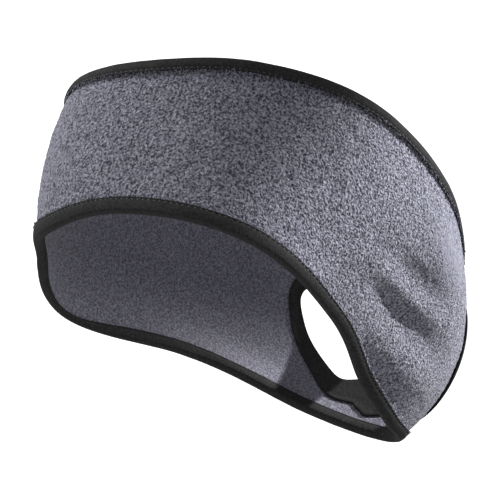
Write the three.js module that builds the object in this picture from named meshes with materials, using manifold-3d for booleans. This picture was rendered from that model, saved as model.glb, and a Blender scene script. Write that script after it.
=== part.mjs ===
// Fleece headband with an opening for a ponytail, as it is worn on a head.
// Millimetres. +Z is up, the forehead side is -Y, +X is the side nearer in the photo.
// The origin is the middle of the hollow that the head fills.

import * as THREE from 'three';
import Module from 'manifold-3d';

const wasm = await Module();
wasm.setup();

// Sizes of the band as it is worn.
const HEAD_HALF_WIDTH = 77;
const HEAD_HALF_DEPTH = 97;
const NAPE_DROP = 70;
const BAND_HEIGHT = 90;

// Thicknesses, widths and clearances of the cloth.
const FLEECE_THICKNESS = 2.0;
const CLEARANCE = 0.3;
const TAPE_THICKNESS = 1.0;
const TAPE_WIDTH = 6.2;
const TAPE_FOLD = 1.3;
const TAPE_SOFTENING = 0.4;

// The lift at the fold as a share of the tape's lift at its legs.
const FOLD_FULLNESS = 0.7;

// Sizes of the ponytail opening, measured on the band laid flat.
// The strips are what the band keeps below and above the opening.
const OPENING_ANGLE = 196;
const OPENING_HALF_WIDTH = 52;
const LOWER_STRIP = 21;
const UPPER_STRIP = 25;
const OPENING_HEIGHT = BAND_HEIGHT - LOWER_STRIP - UPPER_STRIP;

// Sizes that the soft folds are shares of.
const FOLD_LENGTH = 30;
const FOLD_WIDTH = 6.5;
const FOLD_DEPTH = 2.8;

// How finely the cloth is divided.
const STATIONS = 88;
const FLEECE_ROWS = 12;
const OPENING_STATIONS = 56;
const EDGE_TAPE_STEPS = 1;
const OPENING_TAPE_STEPS = 4;

// Sections of the band, one row for every 30 degrees round the head, from the forehead.
// The lower edge hangs a share of NAPE_DROP below the origin.
// The height is a share of BAND_HEIGHT.
// The reaches are shares of the half width and half depth of the head.
// Columns: drop of the lower edge, height, lower reach, middle reach, upper reach.
const SECTION_ANGLE = 30;
const SECTIONS = [
  [0.21, 0.775, 1.02, 1.04, 0.96],
  [0.18, 0.755, 1.04, 1.00, 0.94],
  [0.29, 0.855, 1.08, 1.01, 0.94],
  [0.55, 0.985, 0.79, 0.98, 0.98],
  [0.78, 0.945, 0.61, 0.94, 0.99],
  [0.97, 0.86, 0.67, 0.99, 0.95],
  [0.99, 0.88, 0.81, 1.07, 0.94],
  [0.86, 0.89, 0.65, 0.98, 0.96],
  [0.70, 0.98, 0.60, 0.94, 0.99],
  [0.53, 1.01, 0.80, 0.98, 0.97],
  [0.44, 0.98, 1.11, 1.02, 0.96],
  [0.20, 0.785, 1.02, 1.02, 0.95],
];

// Soft folds near the ear and the nape, one row for each.
// The last three are shares of the fold sizes, and a depth below zero is a dent.
// Columns: angle, share of the band's height, lean in degrees, length, width, depth.
const FOLDS = [
  [120, 0.29, 8, 1.1, 1.0, -1.0],
  [115, 0.44, 10, 0.7, 1.0, -0.9],
  [115, 0.36, 10, 0.8, 0.8, 0.6],
  [134, 0.18, 6, 1.0, 0.9, 0.6],
  [124, 0.66, 0, 0.7, 1.8, 0.7],
  [250, 0.20, 0, 1.3, 1.2, 0.4],
];

// Half the outline of the ponytail opening, from the middle of its top round to its bottom.
// The other half is its mirror image.
// Columns: share of the half width, share of the height, tape width as a share of TAPE_WIDTH.
const OPENING_HALF = [
  [0, 0.90, 1.3],
  [0.35, 0.94, 1.25],
  [0.70, 1.00, 1.2],
  [0.92, 0.97, 1.1],
  [1.00, 0.80, 1.0],
  [0.945, 0.55, 1.15],
  [0.83, 0.32, 1.35],
  [0.63, 0.12, 1.5],
  [0.42, 0.00, 1.8],
  [0.22, 0.07, 2.4],
  [0, 0.10, 3.0],
];

// Colours and surfaces.
const FLEECE_COLOR = 0x74737f;
const TAPE_COLOR = 0x333335;

const radians = THREE.MathUtils.degToRad;

// A smooth value between four neighbours in a row.
function blend(before, from, to, after, share) {
  const slope = to - before;
  const bend = 2 * before - 5 * from + 4 * to - after;
  const twist = 3 * from - before - 3 * to + after;
  return 0.5 * (2 * from + slope * share + bend * share ** 2 + twist * share ** 3);
}

// One column of a closed table, read smoothly at a place counted in rows.
function readClosed(table, column, place) {
  const count = table.length;
  const whole = Math.floor(place);
  const row = (step) => table[(((whole + step) % count) + count) % count][column];
  return blend(row(-1), row(0), row(1), row(2), place - whole);
}

// The height of the lower edge at an angle.
function lowerHeight(angle) {
  return -NAPE_DROP * readClosed(SECTIONS, 0, angle / SECTION_ANGLE);
}

// How high the band is at an angle.
function bandHeight(angle) {
  return BAND_HEIGHT * readClosed(SECTIONS, 1, angle / SECTION_ANGLE);
}

// The length along the band that one degree makes, for the head's mean radius.
function lengthPerDegree() {
  return radians(1) * 0.5 * (HEAD_HALF_WIDTH + HEAD_HALF_DEPTH);
}

// The middle of the cloth before its folds, at an angle and a share of its height.
function smoothPoint(angle, share) {
  const [lowReach, middleReach, highReach] = [2, 3, 4].map((column) =>
    readClosed(SECTIONS, column, angle / SECTION_ANGLE));
  const low = lowReach * (1 - share) * (1 - 2 * share);
  const middle = middleReach * 4 * share * (1 - share);
  const high = highReach * share * (2 * share - 1);
  const reach = low + middle + high;
  const turn = radians(angle);
  const x = HEAD_HALF_WIDTH * reach * Math.sin(turn);
  const y = -HEAD_HALF_DEPTH * reach * Math.cos(turn);
  return new THREE.Vector3(x, y, lowerHeight(angle) + bandHeight(angle) * share);
}

// The direction straight out of the cloth.
function outward(angle, share) {
  const angleStep = 0.1;
  const shareStep = 0.001;
  const along = smoothPoint(angle + angleStep, share).sub(smoothPoint(angle - angleStep, share));
  const up = smoothPoint(angle, share + shareStep).sub(smoothPoint(angle, share - shareStep));
  return along.cross(up).normalize();
}

// How far the folds push the cloth out at a place.
function foldDepth(angle, share) {
  let depth = 0;
  for (const [middle, height, lean, length, width, push] of FOLDS) {
    const along = (angle - middle) * lengthPerDegree();
    const up = (share - height) * bandHeight(angle);
    const turn = radians(lean);
    const lengthways = along * Math.cos(turn) + up * Math.sin(turn);
    const sideways = up * Math.cos(turn) - along * Math.sin(turn);
    const lengthPart = lengthways / (FOLD_LENGTH * length);
    const widthPart = sideways / (FOLD_WIDTH * width);
    depth += FOLD_DEPTH * push * Math.exp(-(lengthPart ** 2) - widthPart ** 2);
  }
  return depth;
}

// A place on the cloth, a lift away from its middle.
function clothPoint(angle, share, lift) {
  const turned = ((angle % 360) + 360) % 360;
  const push = lift + foldDepth(turned, share);
  return smoothPoint(turned, share).addScaledVector(outward(turned, share), push);
}

// The share of the height that a distance in from the lower or upper edge makes.
function shareInFrom(angle, edge, distance) {
  const step = 0.02;
  const inside = edge === 0 ? step : 1 - step;
  const rate = smoothPoint(angle, edge).distanceTo(smoothPoint(angle, inside)) / step;
  return edge === 0 ? distance / rate : 1 - distance / rate;
}

// A closed body from rings of points, each ring joined to the next and the last to the first.
function closedBody(rings) {
  const around = rings[0].length;
  const triangles = [];
  rings.forEach((ring, index) => {
    const here = index * around;
    const next = ((index + 1) % rings.length) * around;
    for (let step = 0; step < around; step += 1) {
      const after = (step + 1) % around;
      triangles.push(here + step, next + step, next + after);
      triangles.push(here + step, next + after, here + after);
    }
  });
  return solidFrom(rings.flat(), triangles);
}

// A solid from points and triangles, turned so that it faces out.
function solidFrom(points, triangles) {
  let volume = 0;
  for (let first = 0; first < triangles.length; first += 3) {
    const [a, b, c] = triangles.slice(first, first + 3).map((index) => points[index]);
    volume += a.dot(b.clone().cross(c));
  }
  if (volume < 0) {
    triangles.reverse();
  }
  const mesh = new wasm.Mesh({
    numProp: 3,
    vertProperties: new Float32Array(points.flatMap((point) => point.toArray())),
    triVerts: new Uint32Array(triangles),
  });
  return new wasm.Manifold(mesh);
}

// The section of a tape folded over an edge: distance in from the fold, and lift.
// Each leg is divided in steps, so that a wide tape bends with the fleece.
function tapeSection(width, steps) {
  const slot = FLEECE_THICKNESS / 2 + CLEARANCE;
  const face = slot + TAPE_THICKNESS;
  const shares = Array.from({ length: steps }, (_, step) => step / steps);
  const inner = shares.map((part) => [TAPE_FOLD + (width - TAPE_FOLD) * part, slot]);
  const reach = width - TAPE_SOFTENING - TAPE_FOLD;
  const outer = shares.map((part) => [width - TAPE_SOFTENING - reach * part, face]);
  const side = [
    ...inner,
    [width, slot],
    [width, face - TAPE_SOFTENING],
    ...outer,
    [TAPE_FOLD, face],
    [TAPE_SOFTENING, face * FOLD_FULLNESS],
  ];
  const otherSide = side.map(([inward, lift]) => [inward, -lift]).reverse();
  return [...side, ...otherSide];
}

// The tape along the lower or the upper edge.
function edgeTape(edge) {
  const section = tapeSection(TAPE_WIDTH, EDGE_TAPE_STEPS);
  const rings = [];
  for (let station = 0; station < STATIONS; station += 1) {
    const angle = (360 * station) / STATIONS;
    const place = ([inward, lift]) => clothPoint(angle, shareInFrom(angle, edge, inward), lift);
    rings.push(section.map(place));
  }
  return closedBody(rings);
}

// A share of the height kept between the lower and the upper tape, with clearances.
function betweenTapes(angle, share) {
  const lowest = shareInFrom(angle, 0, TAPE_WIDTH + CLEARANCE);
  const highest = shareInFrom(angle, 1, TAPE_WIDTH + CLEARANCE);
  return THREE.MathUtils.clamp(share, lowest, highest);
}

// The whole outline of the opening, as rows like those of its half.
function openingOutline() {
  const inner = OPENING_HALF.slice(1, -1);
  const mirrored = inner.map(([across, up, tape]) => [-across, up, tape]).reverse();
  return [...OPENING_HALF, ...mirrored];
}

// A place on the hole's edge with the band laid flat, and the width of the tape there.
function flatOpening(station) {
  const outline = openingOutline();
  const place = (outline.length * station) / OPENING_STATIONS;
  const [across, up, tape] = [0, 1, 2].map((column) => readClosed(outline, column, place));
  return {
    edge: new THREE.Vector2(OPENING_HALF_WIDTH * across, LOWER_STRIP + OPENING_HEIGHT * up),
    tapeWidth: TAPE_WIDTH * tape,
  };
}

// The angle and share of the height of a place given on the flat band.
function fromFlat(flat) {
  const angle = OPENING_ANGLE + flat.x / lengthPerDegree();
  return [angle, flat.y / bandHeight(angle)];
}

// The hole's edge and the outer edge of its tape at a station, and the distance between them.
function openingPlace(station) {
  const { edge, tapeWidth } = flatOpening(station);
  const step = 0.5;
  const ahead = flatOpening(station + step).edge.sub(flatOpening(station - step).edge);
  const away = new THREE.Vector2(-ahead.y, ahead.x).normalize();
  const hole = fromFlat(edge);
  const [outerAngle, outerShare] = fromFlat(edge.clone().addScaledVector(away, tapeWidth));
  const outer = [outerAngle, betweenTapes(outerAngle, outerShare)];
  const width = smoothPoint(...hole).distanceTo(smoothPoint(...outer));
  return { hole, outer, width };
}

// The angle and share at a distance out from the hole's edge.
function openingCoordinates(station, distance) {
  const { hole, outer, width } = openingPlace(station);
  const part = distance / width;
  return [0, 1].map((axis) => hole[axis] + (outer[axis] - hole[axis]) * part);
}

// The tape round the ponytail opening.
function openingTape() {
  const rings = [];
  for (let station = 0; station < OPENING_STATIONS; station += 1) {
    const { width } = openingPlace(station);
    const place = ([inward, lift]) => clothPoint(...openingCoordinates(station, inward), lift);
    rings.push(tapeSection(width, OPENING_TAPE_STEPS).map(place));
  }
  return closedBody(rings);
}

// A block with the outline of the hole in the fleece, curved like the band, to cut with.
function openingCutter() {
  const reach = 4 * FLEECE_THICKNESS;
  const middle = fromFlat(new THREE.Vector2(0, LOWER_STRIP + OPENING_HEIGHT / 2));
  const sizes = [0.35, 0.7, 1];
  const outside = sizes.map((size) => [size, reach]);
  const inside = sizes.map((size) => [size, -reach]).reverse();
  const profile = [...outside, ...inside];
  const points = [];
  for (const [size, lift] of profile) {
    for (let station = 0; station < OPENING_STATIONS; station += 1) {
      const edge = openingCoordinates(station, TAPE_FOLD + CLEARANCE);
      const [angle, share] = [0, 1].map((axis) => middle[axis] + (edge[axis] - middle[axis]) * size);
      points.push(clothPoint(angle, share, lift));
    }
  }
  const hub = points.length;
  points.push(clothPoint(...middle, reach), clothPoint(...middle, -reach));
  const triangles = [];
  const end = (profile.length - 1) * OPENING_STATIONS;
  for (let station = 0; station < OPENING_STATIONS; station += 1) {
    const after = (station + 1) % OPENING_STATIONS;
    for (let here = 0; here < end; here += OPENING_STATIONS) {
      const next = here + OPENING_STATIONS;
      triangles.push(here + station, next + station, next + after);
      triangles.push(here + station, next + after, here + after);
    }
    triangles.push(hub, station, after);
    triangles.push(hub + 1, end + after, end + station);
  }
  return solidFrom(points, triangles);
}

// The fleece wall, with its hole cut.
function fleeceBand() {
  const edgeGap = TAPE_FOLD + CLEARANCE;
  const half = FLEECE_THICKNESS / 2;
  const rings = [];
  for (let station = 0; station < STATIONS; station += 1) {
    const angle = (360 * station) / STATIONS;
    const lowest = shareInFrom(angle, 0, edgeGap);
    const highest = shareInFrom(angle, 1, edgeGap);
    const outside = [];
    const inside = [];
    for (let row = 0; row <= FLEECE_ROWS; row += 1) {
      const share = lowest + ((highest - lowest) * row) / FLEECE_ROWS;
      outside.push(clothPoint(angle, share, half));
      inside.push(clothPoint(angle, share, -half));
    }
    rings.push([...outside, ...inside.reverse()]);
  }
  return closedBody(rings).subtract(openingCutter());
}

// A named mesh of one solid in one material.
function meshOf(name, solid, material) {
  const { vertProperties, triVerts, numProp } = solid.getMesh();
  const geometry = new THREE.BufferGeometry();
  const positions = [];
  for (let first = 0; first < vertProperties.length; first += numProp) {
    positions.push(vertProperties[first], vertProperties[first + 1], vertProperties[first + 2]);
  }
  geometry.setAttribute('position', new THREE.Float32BufferAttribute(positions, 3));
  geometry.setIndex(Array.from(triVerts));
  geometry.computeVertexNormals();
  const mesh = new THREE.Mesh(geometry, material);
  mesh.name = name;
  return mesh;
}

function fleeceMaterial() {
  return new THREE.MeshStandardMaterial({ color: FLEECE_COLOR, roughness: 0.95, metalness: 0 });
}

function tapeMaterial() {
  return new THREE.MeshStandardMaterial({ color: TAPE_COLOR, roughness: 0.8, metalness: 0 });
}

const headband = new THREE.Group();
headband.name = 'fleece_headband';
headband.add(meshOf('fleece_band', fleeceBand(), fleeceMaterial()));
headband.add(meshOf('top_binding', edgeTape(1), tapeMaterial()));
headband.add(meshOf('bottom_binding', edgeTape(0), tapeMaterial()));
headband.add(meshOf('ponytail_binding', openingTape(), tapeMaterial()));

export default headband;
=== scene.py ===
# %% [markdown]
# A fleece headband with an opening for a ponytail, shown in the form it takes on a head.
# Real ones are one strip of fleece, sewn to a loop, with stretch tape folded over every raw edge.
# The lesson builds it the same way: flat pieces first, then each is wrapped round the head.

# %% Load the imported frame
import math

import bmesh
import bpy
import numpy as np
from mathutils import Matrix, Quaternion, Vector, noise


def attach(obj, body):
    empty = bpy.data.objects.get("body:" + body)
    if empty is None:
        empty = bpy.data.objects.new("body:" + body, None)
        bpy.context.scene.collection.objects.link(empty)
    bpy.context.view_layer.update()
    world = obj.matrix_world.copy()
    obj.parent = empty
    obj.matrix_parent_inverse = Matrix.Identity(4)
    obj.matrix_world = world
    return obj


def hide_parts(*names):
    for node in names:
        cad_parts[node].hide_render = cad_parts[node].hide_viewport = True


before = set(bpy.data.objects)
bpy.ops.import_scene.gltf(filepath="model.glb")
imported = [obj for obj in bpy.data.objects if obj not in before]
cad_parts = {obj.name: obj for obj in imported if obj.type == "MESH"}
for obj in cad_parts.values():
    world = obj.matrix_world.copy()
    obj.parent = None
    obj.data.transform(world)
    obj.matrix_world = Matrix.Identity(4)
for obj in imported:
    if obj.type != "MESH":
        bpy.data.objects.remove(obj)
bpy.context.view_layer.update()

# %% [markdown]
# The camera comes first, so that every later choice can be looked at from the right place.
# It stands below the band and looks slightly up at its side, with a long lens.

# %% Camera
LENS = 101.9
CAMERA_PLACE = Vector((0.5174, -0.3044, -0.1750))
CAMERA_AIM = Vector((-0.0018, -0.0037, 0.0012))
CAMERA_ROLL = math.radians(6.165)

camera = bpy.data.objects.new("camera", bpy.data.cameras.new("camera"))
bpy.context.scene.collection.objects.link(camera)
camera.data.lens = LENS
camera.location = CAMERA_PLACE
camera.rotation_mode = "QUATERNION"
level = (CAMERA_AIM - CAMERA_PLACE).to_track_quat("-Z", "Y")
camera.rotation_quaternion = level @ Quaternion((0, 0, 1), CAMERA_ROLL)
bpy.context.scene.camera = camera
print("camera lens", LENS)

# %% [markdown]
# The band has a form that no primitive gives: its height, its drop and its bulge change round the head.
# A short table holds these at every 30 degrees, and a smooth blend reads it in between.
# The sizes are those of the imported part, so that the cloth lies exactly where its solid is.

# %% Sizes of the band
MM = 0.001
HEAD_HALF_WIDTH = 77 * MM
HEAD_HALF_DEPTH = 97 * MM
NAPE_DROP = 70 * MM
BAND_HEIGHT = 90 * MM
FLEECE_THICKNESS = 2.0 * MM
CLEARANCE = 0.3 * MM
TAPE_THICKNESS = 1.0 * MM
TAPE_WIDTH = 6.2 * MM
TAPE_FOLD = 1.3 * MM
SECTION_ANGLE = 30

# Columns: drop of the lower edge, height, lower reach, middle reach, upper reach.
SECTIONS = np.array([
    [0.21, 0.775, 1.02, 1.04, 0.96],
    [0.18, 0.755, 1.04, 1.00, 0.94],
    [0.29, 0.855, 1.08, 1.01, 0.94],
    [0.55, 0.985, 0.79, 0.98, 0.98],
    [0.78, 0.945, 0.61, 0.94, 0.99],
    [0.97, 0.86, 0.67, 0.99, 0.95],
    [0.99, 0.88, 0.81, 1.07, 0.94],
    [0.86, 0.89, 0.65, 0.98, 0.96],
    [0.70, 0.98, 0.60, 0.94, 0.99],
    [0.53, 1.01, 0.80, 0.98, 0.97],
    [0.44, 0.98, 1.11, 1.02, 0.96],
    [0.20, 0.785, 1.02, 1.02, 0.95],
])


def read_closed(table, column, place):
    """One column of a closed table, read smoothly at places counted in rows."""
    values = table[:, column]
    whole = np.floor(place).astype(int)
    share = place - whole
    before, start, end, after = (values[(whole + step) % len(values)] for step in (-1, 0, 1, 2))
    slope = end - before
    bend = 2 * before - 5 * start + 4 * end - after
    twist = 3 * start - before - 3 * end + after
    return 0.5 * (2 * start + slope * share + bend * share**2 + twist * share**3)


def band_height(angle):
    """How high the band is at each angle."""
    return BAND_HEIGHT * read_closed(SECTIONS, 1, angle / SECTION_ANGLE)


def smooth_point(angle, share):
    """The middle of the cloth before its folds, for arrays of angles and shares of the height."""
    place = angle / SECTION_ANGLE
    low = read_closed(SECTIONS, 2, place) * (1 - share) * (1 - 2 * share)
    middle = read_closed(SECTIONS, 3, place) * 4 * share * (1 - share)
    high = read_closed(SECTIONS, 4, place) * share * (2 * share - 1)
    reach = low + middle + high
    turn = np.radians(angle)
    x = HEAD_HALF_WIDTH * reach * np.sin(turn)
    y = -HEAD_HALF_DEPTH * reach * np.cos(turn)
    z = band_height(angle) * share - NAPE_DROP * read_closed(SECTIONS, 0, place)
    return np.stack([x, y, z], axis=-1)


print("height at the forehead", band_height(np.array([0.0])))

# %% [markdown]
# Worn cloth creases where it bends under the ear, and there it shows soft dents and ridges.
# Each fold is one row: where it lies, which way it leans, and how long, wide and deep it is.
# Pushing the cloth along its own outward direction keeps the folds even on a curved wall.

# %% Folds and the wrapping of cloth
FOLD_LENGTH = 30 * MM
FOLD_WIDTH = 6.5 * MM
FOLD_DEPTH = 2.8 * MM
LENGTH_PER_DEGREE = math.radians(1) * 0.5 * (HEAD_HALF_WIDTH + HEAD_HALF_DEPTH)

# Columns: angle, share of the height, lean in degrees, length, width, depth.
FOLDS = [
    [120, 0.29, 8, 1.1, 1.0, -1.0],
    [115, 0.44, 10, 0.7, 1.0, -0.9],
    [115, 0.36, 10, 0.8, 0.8, 0.6],
    [134, 0.18, 6, 1.0, 0.9, 0.6],
    [124, 0.66, 0, 0.7, 1.8, 0.7],
    [250, 0.20, 0, 1.3, 1.2, 0.4],
]


def outward(angle, share):
    """The direction straight out of the cloth."""
    along = smooth_point(angle + 0.1, share) - smooth_point(angle - 0.1, share)
    up = smooth_point(angle, share + 0.001) - smooth_point(angle, share - 0.001)
    across = np.cross(along, up)
    return across / np.linalg.norm(across, axis=-1, keepdims=True)


def fold_depth(angle, share):
    """How far the folds push the cloth out."""
    depth = np.zeros_like(angle)
    for middle, height, lean, length, width, push in FOLDS:
        along = (angle - middle) * LENGTH_PER_DEGREE
        up = (share - height) * band_height(angle)
        turn = math.radians(lean)
        lengthways = along * math.cos(turn) + up * math.sin(turn)
        sideways = up * math.cos(turn) - along * math.sin(turn)
        part = (lengthways / (FOLD_LENGTH * length)) ** 2 + (sideways / (FOLD_WIDTH * width)) ** 2
        depth += FOLD_DEPTH * push * np.exp(-part)
    return depth


def cloth_point(angle, share, lift):
    """Places on the cloth, each a lift away from its middle."""
    turned = np.mod(angle, 360)
    push = lift + fold_depth(turned, share)
    return smooth_point(turned, share) + outward(turned, share) * push[..., None]


def share_in_from(angle, edge, distance):
    """The share of the height at a distance in from the lower edge, 0, or the upper edge, 1."""
    step = 0.02
    at_edge = smooth_point(angle, np.full_like(angle, edge))
    inside = smooth_point(angle, np.full_like(angle, abs(edge - step)))
    rate = np.linalg.norm(at_edge - inside, axis=-1) / step
    return abs(edge - distance / rate)


print("folds", len(FOLDS))

# %% [markdown]
# Every strip of cloth starts as a flat grid, because a grid is how a flat strip looks in bmesh.
# The same helper then wraps it: it moves each point to its place and merges the ends that meet.
# The flat coordinates are kept as a UV map, so a knit pattern can follow the strip.

# %% Helper that wraps a flat grid
MERGE_DISTANCE = 0.002 * MM
STRIP_END = 0.99999


def closed(along):
    """Places along a strip, with its end put on its start."""
    return np.where(along > STRIP_END, 0, along)


def wrapped(along, across, place, uv_size, before_wrap=None):
    """A flat grid with its pattern map, wrapped by the function place."""
    bm = bmesh.new()
    bmesh.ops.create_grid(bm, x_segments=along, y_segments=across, size=0.5)
    uv_map = bm.loops.layers.uv.new("cloth")
    for face in bm.faces:
        for loop in face.loops:
            x, y, _ = loop.vert.co
            loop[uv_map].uv = ((x + 0.5) * uv_size[0], (y + 0.5) * uv_size[1])
    if before_wrap:
        before_wrap(bm)
    flat = np.array([vert.co for vert in bm.verts])
    points = place(flat[:, 0] + 0.5, flat[:, 1] + 0.5, flat[:, 2])
    for vert, point in zip(bm.verts, points):
        vert.co = point
    bmesh.ops.remove_doubles(bm, verts=bm.verts, dist=MERGE_DISTANCE)
    bmesh.ops.recalc_face_normals(bm, faces=bm.faces)
    return bm


def finished(name, bm, material, replaced=()):
    """A smooth-shaded piece from a bmesh, riding on the frame's one body."""
    for face in bm.faces:
        face.smooth = True
    mesh = bpy.data.meshes.new(name)
    bm.to_mesh(mesh)
    bm.free()
    mesh.materials.append(material)
    piece = bpy.data.objects.new(name, mesh)
    bpy.context.scene.collection.objects.link(piece)
    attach(piece, "root")
    if replaced:
        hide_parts(*replaced)
    print(name, "has", sum(len(face.vertices) - 2 for face in mesh.polygons), "triangles")
    return piece


# %% [markdown]
# Fleece is a knit whose loops are brushed and sheared into small nubs, about a millimetre across.
# The colour paints the light and shade of the nubs: a painted highlight on their tops and painted shade in
# the gaps between them, which gives its squiggles.
# Noise in object coordinates makes both the colour and the bump, so that the two agree.
# Where the cloth is stretched, an attribute mixes the noise towards one level and the nubs fade.

# %% Fleece material
def node_material(name):
    """A new material, its node tree and its shader node."""
    material = bpy.data.materials.new(name)
    material.use_nodes = True
    return material, material.node_tree, material.node_tree.nodes["Principled BSDF"]


def noise_node(tree, source, scale, detail, distortion=0.0):
    """A noise texture on a coordinate output."""
    texture = tree.nodes.new("ShaderNodeTexNoise")
    texture.inputs["Scale"].default_value = scale
    texture.inputs["Detail"].default_value = detail
    texture.inputs["Distortion"].default_value = distortion
    tree.links.new(source, texture.inputs["Vector"])
    return texture.outputs["Fac"]


def ramp_node(tree, source, stops):
    """A colour ramp with the given places and colours."""
    ramp = tree.nodes.new("ShaderNodeValToRGB")
    while len(ramp.color_ramp.elements) < len(stops):
        ramp.color_ramp.elements.new(0.5)
    for element, (place, color) in zip(ramp.color_ramp.elements, stops):
        element.position = place
        element.color = (*color, 1)
    tree.links.new(source, ramp.inputs["Fac"])
    return ramp.outputs["Color"]


def bump_node(tree, height, strength, distance, below=None):
    """A bump from a height, laid over another bump where one is given."""
    bump = tree.nodes.new("ShaderNodeBump")
    bump.inputs["Strength"].default_value = strength
    bump.inputs["Distance"].default_value = distance
    tree.links.new(height, bump.inputs["Height"])
    if below:
        tree.links.new(below, bump.inputs["Normal"])
    return bump.outputs["Normal"]


# The darkest colour is painted shade in the gaps between the nubs, and the lightest a painted highlight on
# their tops.
FLEECE_GAP_SHADE = (0.028, 0.027, 0.043)
FLEECE_MIDDLE = (0.160, 0.160, 0.206)
FLEECE_TOP_HIGHLIGHT = (0.310, 0.312, 0.378)
NUB_SCALE = 1050
NUB_HEIGHT = 1.6 * MM
FIBRE_HEIGHT = 0.15 * MM
FIBRES_PER_NUB = 3
STRETCHED_LEVEL = 0.52


def fleece_side(name, gap, middle, top, scale, nub_height):
    """The finish of one side of the fleece: three colours from painted shade in the gaps to a painted
    highlight on the nub tops, and the size of its nubs.
    """
    material, tree, shader = node_material(name)
    place = tree.nodes.new("ShaderNodeTexCoord").outputs["Object"]
    nubs = noise_node(tree, place, scale, 1.0, 0.6)
    fibres = noise_node(tree, place, FIBRES_PER_NUB * scale, 2.0)
    flatten = tree.nodes.new("ShaderNodeAttribute")
    flatten.attribute_name = "stretched"
    level = tree.nodes.new("ShaderNodeMix")
    level.inputs["B"].default_value = STRETCHED_LEVEL
    tree.links.new(flatten.outputs["Fac"], level.inputs["Factor"])
    tree.links.new(nubs, level.inputs["A"])
    nubs = level.outputs["Result"]
    # The ramp paints shade into the gaps and a highlight onto the nub tops.
    colour = ramp_node(tree, nubs, [(0.36, gap), (0.50, middle), (0.68, top)])
    tree.links.new(colour, shader.inputs["Base Color"])
    nub_bump = bump_node(tree, nubs, 1.0, nub_height)
    tree.links.new(bump_node(tree, fibres, 0.4, FIBRE_HEIGHT, nub_bump), shader.inputs["Normal"])
    shader.inputs["Roughness"].default_value = 0.95
    shader.inputs["Specular IOR Level"].default_value = 0.15
    shader.inputs["Sheen Weight"].default_value = 0.15
    shader.inputs["Sheen Roughness"].default_value = 0.6
    print(name, "material has", len(tree.nodes), "nodes")
    return material


fleece_material = fleece_side("fleece", FLEECE_GAP_SHADE, FLEECE_MIDDLE, FLEECE_TOP_HIGHLIGHT, NUB_SCALE, NUB_HEIGHT)

# %% [markdown]
# The inner side is brushed soft and lies against the hair, so its nubs are lower.
# It gets the same recipe with colours that lie closer together, so less painted shade in its gaps and less
# painted highlight on its tops. Its middle colour is also a little darker than the outer one, as painted
# shade of the hollow.

# %% Inner side of the fleece
# A shaded copy of the fleece colours: painted shade of the hollow, painted shade in the gaps and a painted
# highlight on the tops.
INNER_GAP_SHADE = (0.075, 0.073, 0.096)
INNER_MIDDLE_SHADED = (0.140, 0.138, 0.172)
INNER_TOP_SHADED_HIGHLIGHT = (0.225, 0.223, 0.270)
INNER_SCALE = 1100
INNER_HEIGHT = 0.5 * MM
inner_shaded_material = fleece_side("fleece_inner_shaded", INNER_GAP_SHADE, INNER_MIDDLE_SHADED, INNER_TOP_SHADED_HIGHLIGHT, INNER_SCALE, INNER_HEIGHT)

# %% [markdown]
# The edge tape is a fine knit of stretch yarn, smooth and almost black, with a faint rib across it.
# The rib comes from a wave on the strip's own map, so it stays square to the tape round every bend.
# The thread is a shade lighter, and it is what makes the seams readable.

# %% Tape and thread materials
TAPE_DARK = (0.017, 0.017, 0.0175)
TAPE_LIGHT = (0.034, 0.034, 0.035)
RIB_SCALE = 330
RIB_HEIGHT = 0.12 * MM
LINT_SCALE = 900
LINT_HEIGHT = 0.25 * MM
THREAD_DARK = (0.026, 0.026, 0.028)
THREAD_LIGHT = (0.060, 0.060, 0.063)
TWIST_SCALE = 3000

tape_material, tree, shader = node_material("tape")
strip = tree.nodes.new("ShaderNodeUVMap")
strip.uv_map = "cloth"
rib = tree.nodes.new("ShaderNodeTexWave")
rib.inputs["Scale"].default_value = RIB_SCALE
rib.inputs["Distortion"].default_value = 0.6
tree.links.new(strip.outputs["UV"], rib.inputs["Vector"])
place = tree.nodes.new("ShaderNodeTexCoord").outputs["Object"]
lint = noise_node(tree, place, LINT_SCALE, 3.0)
colour = ramp_node(tree, lint, [(0.35, TAPE_DARK), (0.75, TAPE_LIGHT)])
tree.links.new(colour, shader.inputs["Base Color"])
rib_bump = bump_node(tree, rib.outputs["Fac"], 0.35, RIB_HEIGHT)
tree.links.new(bump_node(tree, lint, 0.4, LINT_HEIGHT, rib_bump), shader.inputs["Normal"])
shader.inputs["Roughness"].default_value = 0.8
shader.inputs["Specular IOR Level"].default_value = 0.06

thread_material, tree, shader = node_material("thread")
place = tree.nodes.new("ShaderNodeTexCoord").outputs["Object"]
twist = noise_node(tree, place, TWIST_SCALE, 1.0)
colour = ramp_node(tree, twist, [(0.3, THREAD_DARK), (0.7, THREAD_LIGHT)])
tree.links.new(colour, shader.inputs["Base Color"])
shader.inputs["Roughness"].default_value = 0.6
print("tape and thread materials made")

# %% [markdown]
# The ponytail opening is a rounded hole behind the crown with a wide, curved strip left below it.
# Its outline is given on the band laid flat, half of it, and mirrored for the other side.
# The last column widens the tape towards the nape, where the strip below the hole is all tape.

# %% Outline of the ponytail opening
OPENING_ANGLE = 196
OPENING_HALF_WIDTH = 52 * MM
LOWER_STRIP = 21 * MM
UPPER_STRIP = 25 * MM
OPENING_HEIGHT = BAND_HEIGHT - LOWER_STRIP - UPPER_STRIP

# Columns: share of the half width, share of the height, tape width as a share of TAPE_WIDTH.
OPENING_HALF = [
    [0, 0.90, 1.3],
    [0.35, 0.94, 1.25],
    [0.70, 1.00, 1.2],
    [0.92, 0.97, 1.1],
    [1.00, 0.80, 1.0],
    [0.945, 0.55, 1.15],
    [0.83, 0.32, 1.35],
    [0.63, 0.12, 1.5],
    [0.42, 0.00, 1.8],
    [0.22, 0.07, 2.4],
    [0, 0.10, 3.0],
]
other_half = [[-across, up, tape] for across, up, tape in OPENING_HALF[-2:0:-1]]
OPENING = np.array(OPENING_HALF + other_half)


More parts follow.
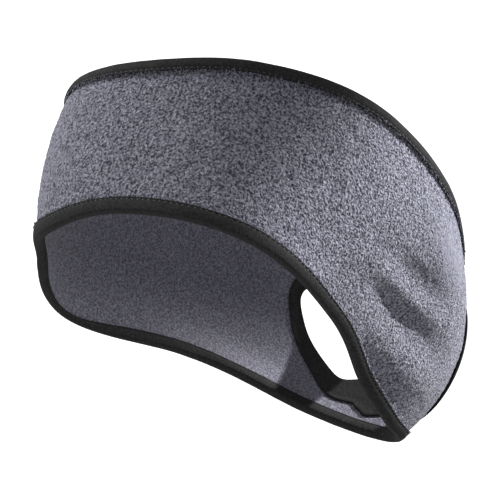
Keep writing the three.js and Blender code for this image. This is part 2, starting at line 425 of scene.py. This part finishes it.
def flat_opening(part):
    """A place on the hole's edge of the flat band, and the tape's width, at a part of the way round."""
    place = part * len(OPENING)
    across = OPENING_HALF_WIDTH * read_closed(OPENING, 0, place)
    up = LOWER_STRIP + OPENING_HEIGHT * read_closed(OPENING, 1, place)
    return np.stack([across, up], axis=-1), TAPE_WIDTH * read_closed(OPENING, 2, place)


def from_flat(flat):
    """The angle and the share of the height of places on the flat band."""
    angle = OPENING_ANGLE + flat[:, 0] / LENGTH_PER_DEGREE
    return angle, flat[:, 1] / band_height(angle)


def opening_place(part, distance=None):
    """Angle and share at a distance out from the hole's edge, and the tape's real width there."""
    edge, tape_width = flat_opening(part)
    step = 0.008
    # The way along the edge, a quarter turn of which points away from the hole.
    ahead = flat_opening(part + step)[0] - flat_opening(part - step)[0]
    away = np.stack([-ahead[:, 1], ahead[:, 0]], axis=-1)
    away /= np.linalg.norm(away, axis=-1, keepdims=True)
    hole_angle, hole_share = from_flat(edge)
    outer_angle, outer_share = from_flat(edge + away * tape_width[:, None])
    gap = TAPE_WIDTH + CLEARANCE
    lowest = share_in_from(outer_angle, 0, gap)
    highest = share_in_from(outer_angle, 1, gap)
    outer_share = np.clip(outer_share, lowest, highest)
    across = smooth_point(hole_angle, hole_share) - smooth_point(outer_angle, outer_share)
    width = np.linalg.norm(across, axis=-1)
    share_out = np.zeros_like(part) if distance is None else distance(width) / width
    angle = hole_angle + (outer_angle - hole_angle) * share_out
    share = hole_share + (outer_share - hole_share) * share_out
    return angle, share, width


print("opening is", 2 * OPENING_HALF_WIDTH / MM, "mm wide")

# %% [markdown]
# The fleece is cut flat, with the hole already in it, and given its thickness while it is flat.
# Then it is wrapped, and its brushed side is roughened with real bumps of a few tenths of a millimetre.
# Under the tapes it is pressed smooth, so nothing pokes through them.
# While it is flat its faces lie one unit apart, and wrapping turns that into the real thickness.

# %% Fleece band
FLEECE_STATIONS = 540
FLEECE_ROWS = 82
RIM_POINTS = 160
NAP_HEIGHT = 0.35 * MM
NAP_SPACING = 1.6 * MM
NAP_MEAN = 0.45
WAVE_HEIGHT = 0.2 * MM
WAVE_SPACING = 7 * MM
INNER_NAP_SHARE = 0.4
PRESSED_REACH = 2 * MM

hole_rim = np.linspace(0, 1, RIM_POINTS, endpoint=False)
rim_angle, rim_share, _ = opening_place(hole_rim, lambda width: TAPE_FOLD + CLEARANCE)
rim_flat = np.stack([(rim_angle - OPENING_ANGLE) * LENGTH_PER_DEGREE, rim_share * band_height(rim_angle)], -1)


def fleece_share(angle, row):
    """The share of the height of a row of the fleece, which ends inside the folds of its tapes."""
    lowest = share_in_from(angle, 0, TAPE_FOLD + CLEARANCE)
    highest = share_in_from(angle, 1, TAPE_FOLD + CLEARANCE)
    return lowest + (highest - lowest) * row


def inside_outline(flat, outline):
    """Which flat places lie inside a closed outline."""
    inside = np.zeros(len(flat), bool)
    for (x0, y0), (x1, y1) in zip(outline, np.roll(outline, -1, axis=0)):
        crosses = (y0 > flat[:, 1]) != (y1 > flat[:, 1])
        reach = x0 + (flat[:, 1] - y0) * (x1 - x0) / (y1 - y0 + 1e-12)
        inside ^= crosses & (flat[:, 0] < reach)
    return inside


def is_inner(layer):
    """Whether a height over the flat grid belongs to the inner face."""
    return abs(layer) > 0.5


def cut_and_thicken(bm):
    """Cuts the hole out of the flat grid, gives it two faces and opens the ends that will meet."""
    middles = np.array([face.calc_center_median() for face in bm.faces])
    angle = (middles[:, 0] + 0.5) * 360
    share = fleece_share(angle, middles[:, 1] + 0.5)
    flat = np.stack([(angle - OPENING_ANGLE) * LENGTH_PER_DEGREE, share * band_height(angle)], -1)
    inside = inside_outline(flat, rim_flat)
    hole = [face for face, cut in zip(bm.faces, inside) if cut]
    bmesh.ops.delete(bm, geom=hole, context="FACES")
    bmesh.ops.solidify(bm, geom=bm.faces[:], thickness=1.0)
    ends = [face for face in bm.faces if all(abs(abs(vert.co.x) - 0.5) < 1e-5 for vert in face.verts)]
    bmesh.ops.delete(bm, geom=ends, context="FACES_ONLY")
    # The inner faces get the second material, the shaded copy of the fleece.
    for face in bm.faces:
        if all(is_inner(vert.co.z) for vert in face.verts):
            face.material_index = 1


def nap_lift(points, angle, share, lift):
    """How much the brushed nap stands out, which is nothing under the tapes."""
    out = lift > 0
    from_edge = np.minimum(
        (share - share_in_from(angle, 0, TAPE_WIDTH)) * band_height(angle),
        (share_in_from(angle, 1, TAPE_WIDTH) - share) * band_height(angle),
    )
    free = np.clip(from_edge / PRESSED_REACH + 0.5, 0, 1)
    nap = np.array([noise.turbulence(Vector(point) / NAP_SPACING, 2, False) for point in points])
    wave = np.array([noise.noise(Vector(point) / WAVE_SPACING) for point in points])
    height = NAP_HEIGHT * (nap - NAP_MEAN) + WAVE_HEIGHT * wave
    return np.where(out, height, -INNER_NAP_SHARE * height) * free


def fleece_place(along, row, layer):
    """Where the points of the flat fleece go."""
    angle = along * 360
    share = fleece_share(angle, row)
    side = np.where(is_inner(layer), -1.0, 1.0)
    lift = side * FLEECE_THICKNESS / 2
    turned = closed(along) * 360
    points = cloth_point(turned, share, lift)
    return cloth_point(turned, share, lift + nap_lift(points, turned, share, lift))


loop_length = 360 * LENGTH_PER_DEGREE
bm = wrapped(FLEECE_STATIONS, FLEECE_ROWS, fleece_place, (loop_length, BAND_HEIGHT), cut_and_thicken)
fleece = finished("fleece_cloth", bm, fleece_material, ["fleece_band"])
# The second slot is the shaded copy of the fleece for the inner face, painted shade of the hollow.
fleece.data.materials.append(inner_shaded_material)

# %% [markdown]
# Behind the ear the head stretches the cloth over its widest part, and the nubs there lie flat.
# A value from nought to one on each point tells the material where to even them out.

# %% Where the nap is stretched smooth
# Columns: angle, share of the height, reach in degrees, reach in shares of the height, amount.
STRETCHED = [[126, 0.68, 13, 0.16, 0.75], [150, 0.45, 14, 0.30, 0.30], [-8, 0.50, 14, 0.40, 0.30]]


def flat_coordinates(piece):
    """The angle and the share of the height of each point of a wrapped piece, from its place."""
    points = np.empty(len(piece.data.vertices) * 3)
    piece.data.vertices.foreach_get("co", points)
    points = points.reshape(-1, 3)
    angle = np.degrees(np.arctan2(points[:, 0] / HEAD_HALF_WIDTH, -points[:, 1] / HEAD_HALF_DEPTH))
    turned = np.mod(angle, 360)
    drop = NAPE_DROP * read_closed(SECTIONS, 0, turned / SECTION_ANGLE)
    return angle, (points[:, 2] + drop) / band_height(turned)


angle, share = flat_coordinates(fleece)
amount = np.zeros(len(angle))
for middle, height, angle_reach, share_reach, most in STRETCHED:
    part = ((angle - middle) / angle_reach) ** 2 + ((share - height) / share_reach) ** 2
    amount = np.maximum(amount, most * np.exp(-part))
stretched = fleece.data.attributes.new("stretched", "FLOAT", "POINT")
stretched.data.foreach_set("value", amount.astype(np.float32))
print("stretched up to", round(float(amount.max()), 2))

# %% [markdown]
# A folded tape is one strip bent over the raw edge, with both of its legs sewn down together.
# Its section is drawn once as a closed line: out along one leg, round the fold and back inside.
# The legs swell a little between the fold and the seam, and the seam pulls them in.

# %% Section of the folded tape
SEAM_IN = 1.0 * MM
SEAM_SHARE = 0.80
SEAM_PULL = 0.35 * MM
SEAM_REACH = 0.07
SWELL = 0.22 * MM
TAPE_FACE = FLEECE_THICKNESS / 2 + CLEARANCE + TAPE_THICKNESS


def tape_section():
    """The section as rows of a fixed distance in, a share of the leg, and a lift."""
    slot = FLEECE_THICKNESS / 2 + CLEARANCE
    rows = []
    for turn in np.linspace(0, 90, 7):
        bend = math.radians(turn)
        rows.append([TAPE_FOLD * (1 - math.cos(bend)), 0, TAPE_FACE * math.sin(bend)])
    for share in (0.2, 0.4, 0.6, 0.72, SEAM_SHARE, 0.88, 0.95):
        swell = SWELL * math.sin(math.pi * min(share / SEAM_SHARE, 1))
        pull = SEAM_PULL * math.exp(-((share - SEAM_SHARE) / SEAM_REACH) ** 2)
        rows.append([TAPE_FOLD, share, TAPE_FACE + swell - pull])
    rows.append([TAPE_FOLD, 0.995, TAPE_FACE - 0.30 * MM])
    rows.append([TAPE_FOLD, 1.0, slot + 0.15 * MM])
    rows.append([TAPE_FOLD, 0.5, slot])
    rows.append([TAPE_FOLD, 0.0, slot * 0.8])
    other = [[inward, share, -lift] for inward, share, lift in rows[:0:-1]]
    return np.array(rows + other)


section = tape_section()


def section_reader(row, width):
    """Distance in and lift on the section, for places counted round it and the tape's widths."""
    index = np.round(row * len(section)).astype(int) % len(section)
    inward = section[index, 0] + section[index, 1] * (width - TAPE_FOLD)
    return inward, section[index, 2]


print("section has", len(section), "points")

# %% [markdown]
# The top and the lower edge get the same tape, so one function places both.
# Its width and its swell drift a little along the way, because sewn stretch tape is never even.
# Low on the far side of the forehead the inner leg is rolled in, and the nap covers most of it.

# %% Edge tapes
TAPE_STATIONS = 480
ROLLED_ANGLE = 318
ROLLED_REACH = 27
ROLLED_SHARE = 0.8
WIDTH_DRIFT = 0.05
SWELL_DRIFT = 0.06


def drift(angle, seed):
    """A slow, smooth wandering between minus one and one round the loop."""
    turn = np.radians(angle)
    ring = np.stack([np.cos(turn) * 4, np.sin(turn) * 4, np.full_like(turn, seed)], -1)
    return np.array([noise.noise(Vector(point)) for point in ring])


def edge_tape_place(edge):
    """The function that places the tape of one edge."""
    def place(along, row, _):
        angle = closed(along) * 360
        width = TAPE_WIDTH * (1 + WIDTH_DRIFT * drift(angle, 3 + edge))
        inward, lift = section_reader(row, width)
        if edge == 0:
            rolled = ROLLED_SHARE * np.exp(-((angle - ROLLED_ANGLE) / ROLLED_REACH) ** 4)
            inward -= np.where(lift < 0, rolled * np.maximum(inward - TAPE_FOLD, 0), 0)
        lift = lift * (1 + SWELL_DRIFT * drift(angle * 3, 9 + edge))
        return cloth_point(angle, share_in_from(angle, edge, inward), lift)
    return place


for name, edge, node in (("top_tape", 1, "top_binding"), ("lower_tape", 0, "bottom_binding")):
    bm = wrapped(TAPE_STATIONS, len(section), edge_tape_place(edge), (loop_length, 4 * TAPE_WIDTH))
    finished(name, bm, tape_material, [node])

# %% [markdown]
# The tape of the ponytail opening has the same section, with a width that follows its outline.

# %% Ponytail tape
OPENING_STATIONS = 300
OPENING_EDGE = 300 * MM


def opening_tape_place(along, row, _):
    """Where the points of the ponytail opening's tape go."""
    part = closed(along)
    _, _, width = opening_place(part)
    inward, lift = section_reader(row, width)
    angle, share, _ = opening_place(part, lambda _: inward)
    return cloth_point(angle, share, lift)


bm = wrapped(OPENING_STATIONS, len(section), opening_tape_place, (OPENING_EDGE, 4 * TAPE_WIDTH))
finished("ponytail_tape", bm, tape_material, ["ponytail_binding"])

# %% [markdown]
# The tapes are sewn with one row of short stitches, a little over two millimetres apart.
# They show on the outer face, and inside the looper thread sinks into the dark knit.
# Each stitch is a small stretched ball of few faces, because hundreds of them are needed.
# They lie in the groove that the seam pulls into the tape.

# %% Stitches
STITCH_LENGTH = 1.4 * MM
STITCH_STEP = 2.4 * MM
STITCH_WIDTH = 0.34 * MM
STITCH_LIFT = TAPE_FACE - 0.36 * MM
LINE_POINTS = 720
OPENING_LINE_POINTS = 400


def along_line(points, step):
    """Places and directions at even steps along a closed line of points."""
    ahead = np.roll(points, -1, axis=0) - points
    lengths = np.linalg.norm(ahead, axis=-1)
    ends = np.cumsum(lengths)
    count = int(ends[-1] / step)
    marks = (np.arange(count) + 0.5) * ends[-1] / count
    index = np.searchsorted(ends, marks)
    part = (marks - (ends[index] - lengths[index])) / lengths[index]
    return points[index] + ahead[index] * part[:, None], ahead[index] / lengths[index, None]


def edge_line(edge, distance, lift):
    """Points along an edge of the band, a distance in from it and a lift out from the cloth."""
    angle = np.linspace(0, 360, LINE_POINTS, endpoint=False)
    return cloth_point(angle, share_in_from(angle, edge, distance), np.full_like(angle, lift))


def opening_seam_line():
    """Points along the seam of the ponytail opening's tape."""
    part = np.linspace(0, 1, OPENING_LINE_POINTS, endpoint=False)
    angle, share, _ = opening_place(part, lambda width: width - SEAM_IN)
    return cloth_point(angle, share, np.full_like(angle, STITCH_LIFT))


def pour(row, bm):
    """Adds one bmesh to another through a mesh, because each row is quicker to make by itself."""
    holder = bpy.data.meshes.new("row")
    row.to_mesh(holder)
    row.free()
    bm.from_mesh(holder)
    bpy.data.meshes.remove(holder)


def add_stitches(bm, line):
    """One row of stitches along a line."""
    places, directions = along_line(line, STITCH_STEP)
    row = bmesh.new()
    for spot, direction in zip(places, directions):
        turn = Vector(direction).to_track_quat("X", "Z").to_matrix().to_4x4()
        size = Matrix.Diagonal((STITCH_LENGTH / 2, STITCH_WIDTH, STITCH_WIDTH, 1))
        matrix = Matrix.Translation(Vector(spot)) @ turn @ size
        bmesh.ops.create_icosphere(row, subdivisions=1, radius=1, matrix=matrix)
    pour(row, bm)
    return len(places)


stitches = bmesh.new()
count = 0
for edge in (0, 1):
    count += add_stitches(stitches, edge_line(edge, TAPE_WIDTH - SEAM_IN, STITCH_LIFT))
count += add_stitches(stitches, opening_seam_line())
print("stitches", count)
finished("stitches", stitches, thread_material)

# %% [markdown]
# Where a tape ends, the brushed nap of the fleece creeps over its edge in tiny tufts.
# They are small cones with a point, leaning over the tape at angles that wander with a fixed seed.
# Real tufts there keep the border from looking like a line drawn with a ruler.

# %% Tufts along the tapes
TUFT_LENGTH = 1.3 * MM
TUFT_RADIUS = 0.30 * MM
TUFT_TIP = 0.3 * TUFT_RADIUS
TUFT_STEP = 0.55 * MM
TUFT_LIFT = 1.7 * MM
TUFT_SPREAD = 0.45
TUFT_JITTER = 0.25 * MM
chance = np.random.default_rng(7)


def add_tufts(bm, line, inward_line):
    """Tufts along a line on the fleece, leaning away from the line further in."""
    places, _ = along_line(line, TUFT_STEP)
    row = bmesh.new()
    for spot in places:
        nearest = inward_line[np.argmin(np.sum((inward_line - spot) ** 2, axis=-1))]
        lean = spot - nearest
        lean = lean / np.linalg.norm(lean) + chance.normal(0, TUFT_SPREAD, 3)
        turn = Vector(lean).to_track_quat("Z", "X").to_matrix().to_4x4()
        length = TUFT_LENGTH * chance.uniform(0.6, 1.2)
        jitter = Vector(chance.normal(0, TUFT_JITTER, 3))
        matrix = Matrix.Translation(Vector(spot) + jitter) @ turn
        bmesh.ops.create_cone(row, cap_ends=True, segments=4, radius1=TUFT_RADIUS,
                              radius2=TUFT_TIP, depth=length, matrix=matrix)
    pour(row, bm)
    return len(places)


tufts = bmesh.new()
count = 0
for edge in (0, 1):
    border = edge_line(edge, TAPE_WIDTH + 0.1 * MM, TUFT_LIFT)
    further_in = edge_line(edge, TAPE_WIDTH + 2 * MM, TUFT_LIFT)
    count += add_tufts(tufts, border, further_in)
print("tufts", count)
finished("tufts", tufts, fleece_material)

# %% [markdown]
# Last comes the plain setting: a pale floor far below and a white paper screen behind the band.
# The screen glows a little of its own, so the picture's ground is an even white.

# %% Floor, screen and surround
FLOOR_SIZE = 6
FLOOR_HEIGHT = -0.45
SCREEN_SIZE = 0.75
SCREEN_DISTANCE = 1.6
SURROUND_STRENGTH = 0.42


def staged_plane(name, size, matrix, material):
    """A square of the setting, which isn't part of the band."""
    bm = bmesh.new()
    bmesh.ops.create_grid(bm, x_segments=1, y_segments=1, size=size)
    bmesh.ops.transform(bm, verts=bm.verts, matrix=matrix)
    mesh = bpy.data.meshes.new(name)
    bm.to_mesh(mesh)
    bm.free()
    mesh.materials.append(material)
    plane = bpy.data.objects.new(name, mesh)
    bpy.context.scene.collection.objects.link(plane)


floor_material, tree, shader = node_material("floor")
shader.inputs["Base Color"].default_value = (0.75, 0.75, 0.75, 1)
shader.inputs["Roughness"].default_value = 0.9
staged_plane("floor", FLOOR_SIZE, Matrix.Translation((0, 0, FLOOR_HEIGHT)), floor_material)

screen_material, tree, shader = node_material("screen")
shader.inputs["Base Color"].default_value = (0.8, 0.8, 0.8, 1)
shader.inputs["Emission Color"].default_value = (1, 1, 1, 1)
shader.inputs["Emission Strength"].default_value = 0.8
behind = (CAMERA_AIM - CAMERA_PLACE).normalized()
screen_turn = (-behind).to_track_quat("Z", "Y").to_matrix().to_4x4()
screen_place = Matrix.Translation(CAMERA_AIM + behind * SCREEN_DISTANCE) @ screen_turn
staged_plane("screen", SCREEN_SIZE, screen_place, screen_material)

world = bpy.data.worlds.new("surround")
bpy.context.scene.world = world
world.use_nodes = True
world.node_tree.nodes["Background"].inputs["Color"].default_value = (1, 1, 1, 1)
world.node_tree.nodes["Background"].inputs["Strength"].default_value = SURROUND_STRENGTH
bpy.context.scene.view_settings.view_transform = "Standard"
print("floor, screen and surround made")

# %% [markdown]
# The key light stands behind and beside the band, so its near side is bright.
# A wide light there would glare on the inner wall, where a head would keep it out.
# So the key has a snoot, a tube that narrows it to the near side, and a weaker light fills the front.

# %% Lights
KEY_PLACE = (0.64, 0.80, 0.78)
KEY_AIM = (0.054, 0.046, -0.022)
KEY_CONE = math.radians(9.2)
KEY_POWER = 168
KEY_BLEND = 0.6
KEY_RADIUS = 0.02
FILL_PLACE = (-0.45, -0.95, 0.85)
FILL_SIZE = 0.5
FILL_POWER = 20


def placed_light(light, place, aim, power):
    """Puts a light at its place and turns it to face a point."""
    light.energy = power
    lamp = bpy.data.objects.new(light.name, light)
    lamp.location = place
    lamp.rotation_mode = "QUATERNION"
    lamp.rotation_quaternion = (Vector(aim) - Vector(place)).to_track_quat("-Z", "Y")
    bpy.context.scene.collection.objects.link(lamp)


fill = bpy.data.lights.new("fill", "AREA")
fill.size = FILL_SIZE
placed_light(fill, FILL_PLACE, (0, 0, 0), FILL_POWER)

key = bpy.data.lights.new("key", "SPOT")
key.spot_size = KEY_CONE
key.spot_blend = KEY_BLEND
key.shadow_soft_size = KEY_RADIUS
placed_light(key, KEY_PLACE, KEY_AIM, KEY_POWER)
print("lights made")
